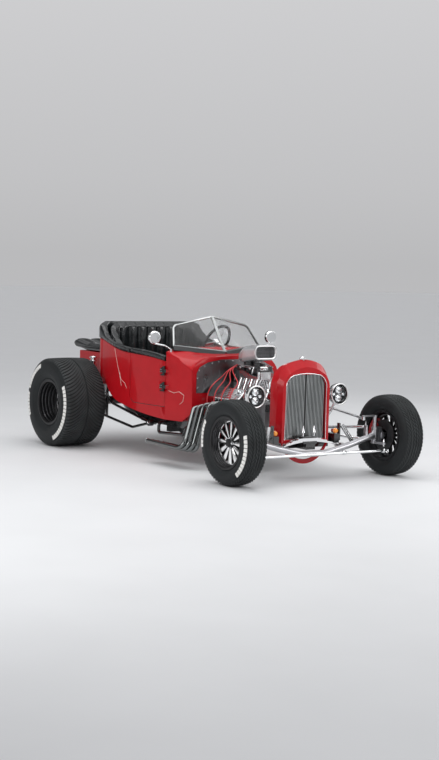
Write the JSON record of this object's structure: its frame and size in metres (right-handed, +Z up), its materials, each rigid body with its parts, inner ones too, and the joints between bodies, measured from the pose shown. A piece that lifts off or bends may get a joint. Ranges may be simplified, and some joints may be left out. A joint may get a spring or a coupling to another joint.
{
  "type": "hot rod roadster",
  "caption": "Open hot rod roadster with a tub body, exposed engine, chrome dropped front axle, side headers and very wide rear tyres on deep spoked wheels.",
  "frame": {"origin": "on the ground below the middle of the overall box", "axes": "+X forward, +Y to the car's left, +Z up"},
  "size_m": [3.5299, 1.942, 1.233],
  "materials": {
    "red_paint": "gloss clear-coated deep red",
    "black_frame": "gloss black",
    "chrome": "mirror chrome",
    "dark_grille": "satin black with bright edges",
    "cast_alloy": "bead-blasted cast alloy",
    "polished_alloy": "polished alloy",
    "engine_paint": "satin painted iron",
    "black_vinyl": "black upholstery with stitched rolls",
    "screen_glass": "clear laminated glass",
    "lamp_glass": "clear lamp lens",
    "amber_lens": "amber lens in a bright rim",
    "red_lens": "red lens in a bright rim",
    "red_wire": "red silicone leads",
    "wheel_alloy": "polished spokes over black recesses",
    "tyre_rubber": "black rubber",
    "machined_steel": "machined steel"
  },
  "bodies": {
    "chassis": {"air_scoop": "chrome", "bed_box": "red_paint", "bed_roll": "black_vinyl", "body_tub": "red_paint", "carburettors": "cast_alloy", "engine_block": "engine_paint", "fan_and_pulleys": "polished_alloy", "frame_rails": "black_frame", "front_axle": "chrome", "gearbox": "cast_alloy", "grille_insert": "dark_grille", "grille_shell": "red_paint", "headers": "chrome", "headlamp_lenses": "lamp_glass", "headlamps": "chrome", "intake_manifold": "cast_alloy", "leaf_spring": "chrome", "mirrors": "chrome", "plug_wires": "red_wire", "radiator": "dark_grille", "radiator_hose": "chrome", "radius_rods": "chrome", "rear_axle": "black_frame", "seat_back": "black_vinyl", "seat_cushion": "black_vinyl", "shock_absorbers": "chrome", "side_pads": "black_vinyl", "steering_column": "chrome", "tail_lamps": "red_lens", "turn_signals": "amber_lens", "valve_covers": "polished_alloy", "windshield_frame": "chrome", "windshield_glass": "screen_glass"},
    "door": {"door_right": "red_paint", "door_pad": "black_vinyl"},
    "steering_hand_wheel": {"steering_wheel": "polished_alloy"},
    "drop_arm": {"pitman_arm": "chrome"},
    "drag_link": {"drag_link": "chrome"},
    "tie_rod": {"tie_rod": "chrome"},
    "left_knuckle": {"knuckle_left": "machined_steel"},
    "right_knuckle": {"knuckle_right": "machined_steel"},
    "front_left_wheel": {"wheel_front_left": "wheel_alloy", "tyre_front_left": "tyre_rubber"},
    "front_right_wheel": {"wheel_front_right": "wheel_alloy", "tyre_front_right": "tyre_rubber"},
    "rear_left_wheel": {"wheel_rear_left": "wheel_alloy", "tyre_rear_left": "tyre_rubber"},
    "rear_right_wheel": {"wheel_rear_right": "wheel_alloy", "tyre_rear_right": "tyre_rubber"}
  },
  "joints": [
    {"name": "steer_left", "type": "hinge", "parent": "chassis", "child": "left_knuckle", "pos_m": [1.435, 0.62, 0.33], "axis": [0, 0, 1], "range_deg": [-25, 25]},
    {"name": "steer_right", "type": "hinge", "parent": "chassis", "child": "right_knuckle", "pos_m": [1.435, -0.62, 0.33], "axis": [0, 0, 1], "range_deg": [-25, 25]},
    {"name": "tie_rod_end", "type": "hinge", "parent": "left_knuckle", "child": "tie_rod", "pos_m": [1.555, 0.62, 0.22], "axis": [0, 0, 1], "range_deg": [-25, 25]},
    {"name": "drag_link_end", "type": "hinge", "parent": "left_knuckle", "child": "drag_link", "pos_m": [1.435, 0.5, 0.47], "axis": [0, 0, 1], "range_deg": [-25, 25]},
    {"name": "drop_arm_swing", "type": "hinge", "parent": "chassis", "child": "drop_arm", "pos_m": [0.235, 0.484, 0.72], "axis": [0, -1, 0], "range_deg": [-25, 25]},
    {"name": "steering_wheel_turn", "type": "hinge", "parent": "chassis", "child": "steering_hand_wheel", "pos_m": [-0.285, 0.22, 0.98], "axis": [0.8616, 0.2684, -0.4308], "range_deg": [-400, 400]},
    {"name": "door_swing", "type": "hinge", "parent": "chassis", "child": "door", "pos_m": [0.029, -0.526, 0.6975], "axis": [0, 0, 1], "range_deg": [0, 65]},
    {"name": "front_left_spin", "type": "hinge", "parent": "left_knuckle", "child": "front_left_wheel", "pos_m": [1.435, 0.7825, 0.33], "axis": [0, 1, 0], "continuous": true},
    {"name": "front_right_spin", "type": "hinge", "parent": "right_knuckle", "child": "front_right_wheel", "pos_m": [1.435, -0.7825, 0.33], "axis": [0, 1, 0], "continuous": true},
    {"name": "rear_left_spin", "type": "hinge", "parent": "chassis", "child": "rear_left_wheel", "pos_m": [-1.215, 0.7625, 0.395], "axis": [0, 1, 0], "continuous": true},
    {"name": "rear_right_spin", "type": "hinge", "parent": "chassis", "child": "rear_right_wheel", "pos_m": [-1.215, -0.7625, 0.395], "axis": [0, 1, 0], "continuous": true}
  ],
  "couplings": [
    {"joint": "steer_right", "follows": "steer_left", "ratio": 1},
    {"joint": "tie_rod_end", "follows": "steer_left", "ratio": -1},
    {"joint": "drag_link_end", "follows": "steer_left", "ratio": -1},
    {"joint": "drop_arm_swing", "follows": "steer_left", "ratio": 1},
    {"joint": "steering_wheel_turn", "follows": "steer_left", "ratio": -16}
  ]
}
